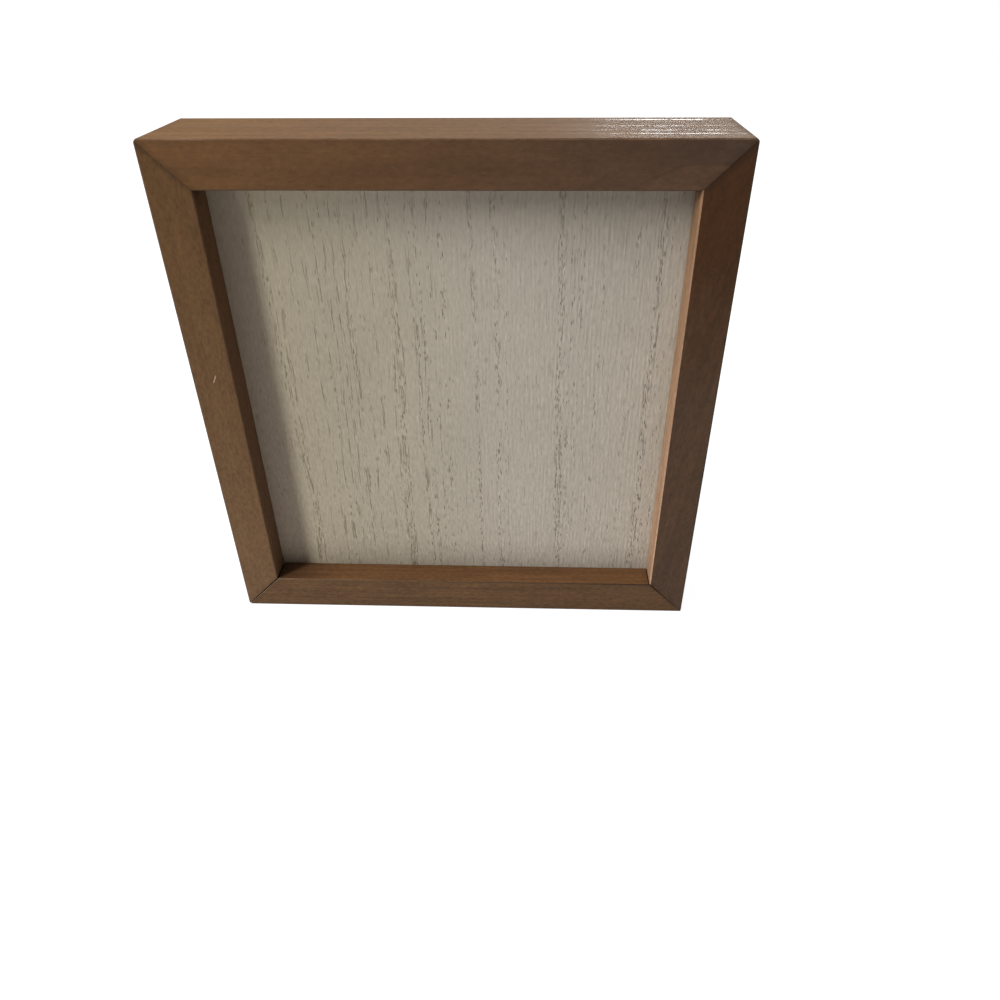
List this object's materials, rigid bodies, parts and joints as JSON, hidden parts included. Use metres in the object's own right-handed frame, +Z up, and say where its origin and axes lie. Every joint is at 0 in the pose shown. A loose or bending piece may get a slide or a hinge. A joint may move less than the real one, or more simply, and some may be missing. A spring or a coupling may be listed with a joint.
{
  "type": "box frame",
  "caption": "Square deep box frame with mitred stained-wood rails round a recessed limed-wood display panel, closed by a back board on turn buttons, to stand on a shelf or hang on a wall.",
  "frame": {"origin": "middle of the bottom rail's sole, half way between the front face and the back edge of the rails", "axes": "+Z up, -Y out of the front of the frame, +X to the right as seen from the front"},
  "size_m": [0.2, 0.0438, 0.2],
  "materials": {
    "walnut_stain": "satin walnut-brown stain on close-grained wood",
    "limed_wood": "matt whitewash over open pores, grain upright",
    "bare_pine": "bare softwood",
    "hardboard": "matt brown hardboard",
    "zinc_steel": "zinc-plated pressed steel",
    "blued_steel": "blue-grey tempered steel",
    "black_rubber": "matt soft rubber"
  },
  "bodies": {
    "frame": {"top_rail": "walnut_stain", "bottom_rail": "walnut_stain", "left_stile": "walnut_stain", "right_stile": "walnut_stain", "display_panel": "limed_wood", "spacer_left": "bare_pine", "spacer_right": "bare_pine", "spacer_top": "bare_pine", "spacer_bottom": "bare_pine", "back_board": "hardboard", "button_screw_upper_left": "zinc_steel", "button_screw_lower_left": "zinc_steel", "button_screw_upper_right": "zinc_steel", "button_screw_lower_right": "zinc_steel", "sawtooth_hanger": "zinc_steel", "hanger_nail_left": "zinc_steel", "hanger_nail_right": "zinc_steel", "v_nail_back_top_left": "blued_steel", "v_nail_back_top_right": "blued_steel", "v_nail_back_bottom_left": "blued_steel", "v_nail_back_bottom_right": "blued_steel", "v_nail_lip_top_left": "blued_steel", "v_nail_lip_top_right": "blued_steel", "v_nail_lip_bottom_left": "blued_steel", "v_nail_lip_bottom_right": "blued_steel", "bumper_left": "black_rubber", "bumper_right": "black_rubber"},
    "turn_button_upper_left": {"turn_button_upper_left": "zinc_steel"},
    "turn_button_lower_left": {"turn_button_lower_left": "zinc_steel"},
    "turn_button_upper_right": {"turn_button_upper_right": "zinc_steel"},
    "turn_button_lower_right": {"turn_button_lower_right": "zinc_steel"}
  },
  "joints": [
    {"name": "upper_left_button_turn", "type": "hinge", "parent": "frame", "child": "turn_button_upper_left", "pos_m": [-0.095, 0.0208, 0.15], "axis": [0, 1, 0], "continuous": true},
    {"name": "lower_left_button_turn", "type": "hinge", "parent": "frame", "child": "turn_button_lower_left", "pos_m": [-0.095, 0.0208, 0.05], "axis": [0, 1, 0], "continuous": true},
    {"name": "upper_right_button_turn", "type": "hinge", "parent": "frame", "child": "turn_button_upper_right", "pos_m": [0.095, 0.0208, 0.15], "axis": [0, 1, 0], "continuous": true},
    {"name": "lower_right_button_turn", "type": "hinge", "parent": "frame", "child": "turn_button_lower_right", "pos_m": [0.095, 0.0208, 0.05], "axis": [0, 1, 0], "continuous": true}
  ]
}
